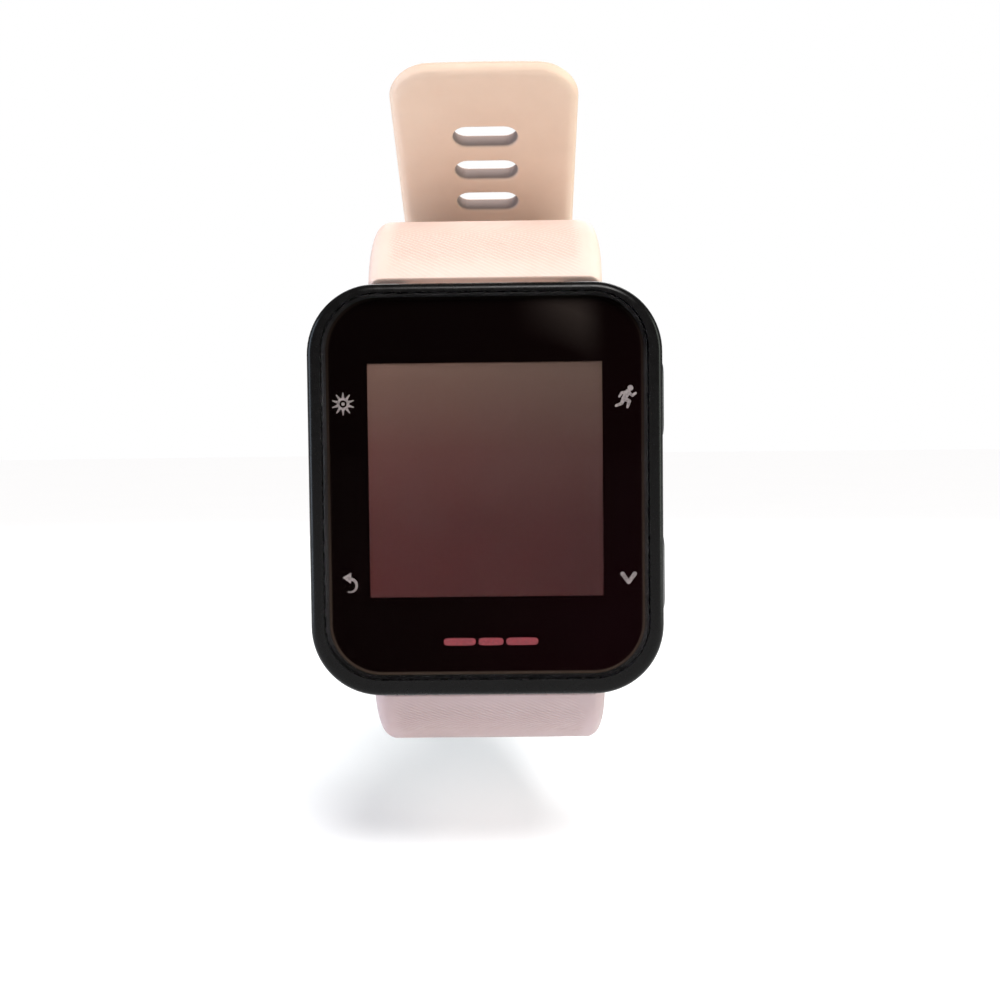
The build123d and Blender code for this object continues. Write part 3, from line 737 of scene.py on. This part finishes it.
def short_strap():
    end = SHORT_END
    bm = flat_strap("short_strap", SHOULDER, end - 2.2, ROOT_RADIUS, 0.6)
    place = strap_place(short_at, strap_thickness, SHOULDER, end + 0.4, ROOT_RADIUS, 1.0)
    bent(bm, place, rib_mask_for(3.2, 40.0), SHORT_SHIFT, 1)
    # two flaps either side of the tongue, rolled round the buckle pin
    for side in (1, -1):
        corners = [(side * SHORT_HALF, end - 3.0), (side * SHORT_HALF, end),
                   (side * ROLL_GAP, end), (side * ROLL_GAP, end - 3.0)]
        flap = plate("flap", [rounded(corners, [0.3] * 4)], 1.0, 0.3)
        sliced(flap, 1, steps_between(end - 3.0, end, 0.8))
        bent(flap, lambda x, s, t: short_at(x, s, t * 1.24), no_ribs, SHORT_SHIFT, 1)
        merged(bm, flap)
    barrel(bm, (LUG_Y, LUG_Z), LUG_RADIUS, -WEB_HALF, WEB_HALF)
    y, z, _ = travel((LUG_Y, LUG_Z), SHORT_HEADING, SHORT_RUNS, end)
    barrel(bm, (y, z), ROLL_RADIUS, ROLL_GAP, SHORT_HALF, 0.35)
    barrel(bm, (y, z), ROLL_RADIUS, -SHORT_HALF, -ROLL_GAP, 0.35)
    merged(bm, web(short_at, SHORT_SHIFT, 1))
    obj = finished(bm, "short_strap_skin", strap_ribbed)
    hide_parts("short_strap")
    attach(obj, "upper_strap")


def buckle_place(x, reach, lift):
    """Point of the buckle: across, from the pin along the strap, and outward."""
    y, z, angle = travel((LUG_Y, LUG_Z), SHORT_HEADING, SHORT_RUNS, SHORT_END)
    y += reach * math.cos(angle) - lift * math.sin(angle)
    z += reach * math.sin(angle) + lift * math.cos(angle)
    return Vector((x, y, z)) * MM


BUCKLE_HALF, BUCKLE_BAR, BUCKLE_REACH = 12.2, 10.6, 11.6
TONGUE_HALF = 2.9


def buckle():
    """Rounded metal frame hung on the buckle pin by two eyes, and its tongue."""
    y, z, _ = travel((LUG_Y, LUG_Z), SHORT_HEADING, SHORT_RUNS, SHORT_END)
    outer, inner = BUCKLE_HALF, BUCKLE_BAR
    corners = [(outer, -0.4), (outer, BUCKLE_REACH), (-outer, BUCKLE_REACH), (-outer, -0.4),
               (-inner, -0.4), (-inner, 9.3), (inner, 9.3), (inner, -0.4)]
    bm = plate("buckle", [rounded(corners, [0.5, 2.4, 2.4, 0.5, 0.5, 1.0, 1.0, 0.5])], 0.75, 0.5)
    for vert in bm.verts:
        vert.co = buckle_place(vert.co.x, vert.co.y, vert.co.z - 0.8)
    barrel(bm, (y, z), 1.6, inner, outer)
    barrel(bm, (y, z), 1.6, -outer, -inner)
    frame_piece = finished(bm, "buckle_bow", LOOKS["buckle_steel"])
    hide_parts("buckle_frame")
    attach(frame_piece, "buckle")

    corners = [(TONGUE_HALF, 0.2), (2.6, 10.6), (-2.6, 10.6), (-TONGUE_HALF, 0.2)]
    bm = plate("tongue", [rounded(corners, [0.3, 1.6, 1.6, 0.3])], 0.5, 0.38)
    for vert in bm.verts:
        vert.co = buckle_place(vert.co.x, vert.co.y, vert.co.z + 0.62)
    barrel(bm, (y, z), 1.5, -TONGUE_HALF, TONGUE_HALF)
    tongue_piece = finished(bm, "buckle_prong", LOOKS["buckle_steel"])
    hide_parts("buckle_tongue")
    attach(tongue_piece, "tongue")


def keeper():
    """Moulded loop, drawn in section (x across, y outward) and bent along the short strap."""
    at, half_length = 45.4, 2.3
    low, high = -1.5, 3.4
    half, wall = 10.5, 1.1
    outer = boxed(-half - wall, low - wall, half + wall, high + wall, 1.5)
    inner = boxed(-half, low, half, high, 0.6)
    bm = plate("keeper", [outer, inner], half_length, 0.35)
    sliced(bm, 2, [-1.2, 0.0, 1.2])
    for vert in bm.verts:
        x, lift, along = vert.co
        vert.co = short_at(x, at + along, lift)
    obj = finished(bm, "keeper_loop", strap_smooth)
    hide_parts("strap_keeper")
    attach(obj, "keeper")


long_strap()
short_strap()
keeper()
buckle()


# ---------------------------------------------------------------- printed marks under the glass
ICON_DEPTH = 11.306


def ink(name, color, scale, light, dark):
    """Slightly uneven printed ink."""
    m = Nodes(name, color, 0.5)
    m.color(m.mix(m.grey(m.noise(scale, 2), 0.35, 0.7), light, dark))
    return m.material


icon_ink = ink("icon_ink", srgb(108, 100, 100), 5000, srgb(116, 108, 108), srgb(76, 68, 68))
accent_ink = ink("accent_ink", srgb(120, 40, 48), 4000, srgb(104, 20, 30), srgb(74, 12, 22))


def capsule(a, b, wide_a, wide_b, steps=7):
    """Outline of a stroke with round ends, from a to b."""
    a, b = Vector(a), Vector(b)
    along = math.atan2(b.y - a.y, b.x - a.x)
    points = []
    quarter = math.pi / 2
    for centre, radius, start in ((b, wide_b / 2, along - quarter), (a, wide_a / 2, along + quarter)):
        for k in range(steps + 1):
            t = start + math.pi * k / steps
            points.append(centre + Vector((math.cos(t), math.sin(t))) * radius)
    return points


def disc(x, y, radius, steps=20):
    angles = [2 * math.pi * k / steps for k in range(steps)]
    return [Vector((x + radius * math.cos(a), y + radius * math.sin(a))) for a in angles]


def printed(name, shapes, x, z, material):
    """Thin ink shapes centred at (x, z) mm on the back of the lens."""
    bm = bmesh.new()
    for index, outline in enumerate(shapes):
        # overlapping shapes step forward so that no two faces share a plane
        depth = ICON_DEPTH + 0.002 * index
        front, back = ([bm.verts.new(Vector((x + p[0], y, z + p[1])) * MM) for p in outline]
                       for y in (-depth, -ICON_DEPTH + 0.01))
        bm.faces.new(front)
        bm.faces.new(list(reversed(back)))
        for k in range(len(front)):
            bm.faces.new((front[k], back[k], back[(k + 1) % len(back)], front[(k + 1) % len(front)]))
    bmesh.ops.triangulate(bm, faces=[f for f in bm.faces if len(f.verts) > 4])
    obj = finished(bm, name, material, smooth=False)
    obj.modifiers.clear()
    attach(obj, "case")


def ring(radius, width, count=18):
    """Round stroke made of short capsules."""
    shapes = []
    for k in range(count):
        a0, a1 = 2 * math.pi * k / count, 2 * math.pi * (k + 1) / count
        ends = [(radius * math.cos(a), radius * math.sin(a)) for a in (a0, a1)]
        shapes.append(capsule(*ends, width, width, 3))
    return shapes


def light_icon():
    """Lamp symbol: a ring with a dot and ten pointed rays."""
    shapes = ring(0.5, 0.24) + [disc(0, 0, 0.17)]
    for k in range(10):
        a = math.radians(90 + k * 36)
        inner, outer = ((r * math.cos(a), r * math.sin(a)) for r in (0.6, 1.1))
        shapes.append(capsule(inner, outer, 0.26, 0.1, 4))
    return shapes


def run_icon():
    """Chunky running figure leaning to the right."""
    joints = {
        "head": (0.46, 0.98), "neck": (0.2, 0.58), "hip": (-0.2, -0.08),
        "elbow_f": (0.66, 0.22), "hand_f": (0.98, 0.46),
        "elbow_b": (-0.42, 0.50), "hand_b": (-0.66, 0.12),
        "knee_f": (0.34, -0.34), "foot_f": (0.16, -0.92),
        "knee_b": (-0.44, -0.56), "foot_b": (-0.98, -0.78),
    }
    lines = [
        ("neck", "hip", 0.58, 0.5), ("neck", "elbow_f", 0.3, 0.28), ("elbow_f", "hand_f", 0.28, 0.24),
        ("neck", "elbow_b", 0.3, 0.28), ("elbow_b", "hand_b", 0.28, 0.22),
        ("hip", "knee_f", 0.42, 0.36), ("knee_f", "foot_f", 0.34, 0.26),
        ("hip", "knee_b", 0.42, 0.34), ("knee_b", "foot_b", 0.32, 0.26),
    ]
    shapes = [capsule(joints[a], joints[b], wa, wb) for a, b, wa, wb in lines]
    shapes.append(disc(*joints["head"], 0.29))
    return shapes


def back_icon():
    """Arrow that curls back to the left."""
    shapes, previous = [], None
    for k in range(13):
        a = math.radians(-105 + k * 16.5)
        point = (0.08 + 0.66 * math.cos(a), -0.16 + 0.66 * math.sin(a))
        if previous:
            shapes.append(capsule(previous, point, 0.16 + 0.012 * k, 0.172 + 0.012 * k, 4))
        previous = point
    x, z = previous
    head = ((x - 0.72, z + 0.16), (x + 0.1, z - 0.46), (x + 0.16, z + 0.66))
    shapes.append([Vector(corner) for corner in head])
    return shapes


def down_icon():
    """Chevron pointing down."""
    return [capsule((side * 0.62, 0.42), (0.0, -0.44), 0.42, 0.38) for side in (-1, 1)]


printed("icon_light", light_icon(), -14.2, 8.75, icon_ink)
printed("icon_activity", run_icon(), 14.1, 9.05, icon_ink)
printed("icon_back", back_icon(), -13.85, -9.35, icon_ink)
printed("icon_down", down_icon(), 14.25, -9.0, icon_ink)
dashes = [capsule((left, 0), (right, 0), 0.75, 0.75)
          for left, right in ((-4.4, -1.9), (-0.9, 0.9), (1.9, 4.4))]
printed("accent_bar", dashes, 0.35, -15.3, accent_ink)


# ---------------------------------------------------------------- stage, light, camera
# room below the closed watch for the strap as it opens, in metres
FLOOR_DROP = 0.0125
FLOOR_RINGS = [0.05, 0.12, 0.3, 0.8, 2.0, 6.0]
FLOOR_SEGMENTS = 48


def stage():
    """Pale round floor."""
    low = cad_low.z - FLOOR_DROP
    count = FLOOR_SEGMENTS
    angles = [2 * math.pi * k / count for k in range(count)]
    bm = bmesh.new()
    previous = None
    for radius in FLOOR_RINGS:
        ring = [bm.verts.new((radius * math.cos(a), radius * math.sin(a), low)) for a in angles]
        if previous is None:
            bm.faces.new(ring)
        else:
            for k in range(count):
                after = (k + 1) % count
                bm.faces.new((previous[k], ring[k], ring[after], previous[after]))
        previous = ring
    mesh = bpy.data.meshes.new("floor")
    bm.to_mesh(mesh)
    bm.free()
    floor = bpy.data.objects.new("floor", mesh)
    scene.collection.objects.link(floor)
    m = Nodes("floor_paper", (0.99, 0.99, 0.99, 1), 0.9)
    cloud = m.grey(m.noise(12, 3), 0.35, 0.7)
    m.color(m.mix(cloud, (0.99, 0.99, 1.0, 1), (0.985, 0.985, 0.995, 1)))
    m.set(m.shader, "Specular IOR Level", 0.15)
    m.bump(m.noise(1500, 3), 0.00002)
    mesh.materials.append(m.material)


def add_light(name, data, direction, location=(0, 0, 0)):
    obj = bpy.data.objects.new(name, data)
    obj.location = location
    obj.rotation_euler = Vector(direction).to_track_quat("-Z", "Y").to_euler()
    scene.collection.objects.link(obj)


def area(name, location, target, size, power, color=(1, 1, 1)):
    data = bpy.data.lights.new(name, "AREA")
    data.shape = "RECTANGLE"
    data.size, data.size_y = size
    data.energy = power
    data.color = color
    add_light(name, data, Vector(target) - Vector(location), location)


stage()
sun = bpy.data.lights.new("sun", "SUN")
sun.energy = 3.5
sun.angle = math.radians(25)
sun.color = (1.0, 0.985, 0.965)
add_light("sun", sun, (-0.16, 0.72, -0.80))
area("fill_left", (-0.30, -0.05, 0.03), (0, 0, 0), (0.10, 0.30), 0.8, (0.70, 0.84, 1.0))
area("fill_right", (0.30, -0.06, 0.05), (0, 0, 0), (0.10, 0.26), 0.55, (0.90, 1.0, 0.88))
area("back", (0.05, 0.36, 0.30), (0, 0.02, 0), (0.3, 0.2), 0.8)

# dim light on the object, plain white behind it
world = bpy.data.worlds.new("studio")
scene.world = world
world.use_nodes = True
tree = world.node_tree
background = tree.nodes["Background"]
background.inputs["Color"].default_value = (0.97, 0.98, 1.0, 1)
background.inputs["Strength"].default_value = 0.22
pale = tree.nodes.new("ShaderNodeBackground")
pale.inputs["Color"].default_value = (1.0, 1.0, 1.0, 1)
pale.inputs["Strength"].default_value = 1.0
path = tree.nodes.new("ShaderNodeLightPath")
mixer = tree.nodes.new("ShaderNodeMixShader")
tree.links.new(path.outputs["Is Camera Ray"], mixer.inputs[0])
tree.links.new(background.outputs[0], mixer.inputs[1])
tree.links.new(pale.outputs[0], mixer.inputs[2])
tree.links.new(mixer.outputs[0], tree.nodes["World Output"].inputs["Surface"])

# the photo's camera: place in metres; yaw, pitch and roll in degrees
CAMERA_PLACE = (0.00318, -0.14296, 0.00456)
CAMERA_TURNS = ((0.77, "Z"), (-2.435, "X"), (0.65, "Y"), (90, "X"))
camera_data = bpy.data.cameras.new("camera")
camera_data.sensor_width = 36.0
camera_data.lens = 47.27
camera_data.clip_start = 0.005
camera = bpy.data.objects.new("camera", camera_data)
turn = Matrix.Identity(3)
for degrees, axis in CAMERA_TURNS:
    turn = turn @ Matrix.Rotation(math.radians(degrees), 3, axis)
camera.location = CAMERA_PLACE
camera.rotation_euler = turn.to_euler()
scene.collection.objects.link(camera)
scene.camera = camera
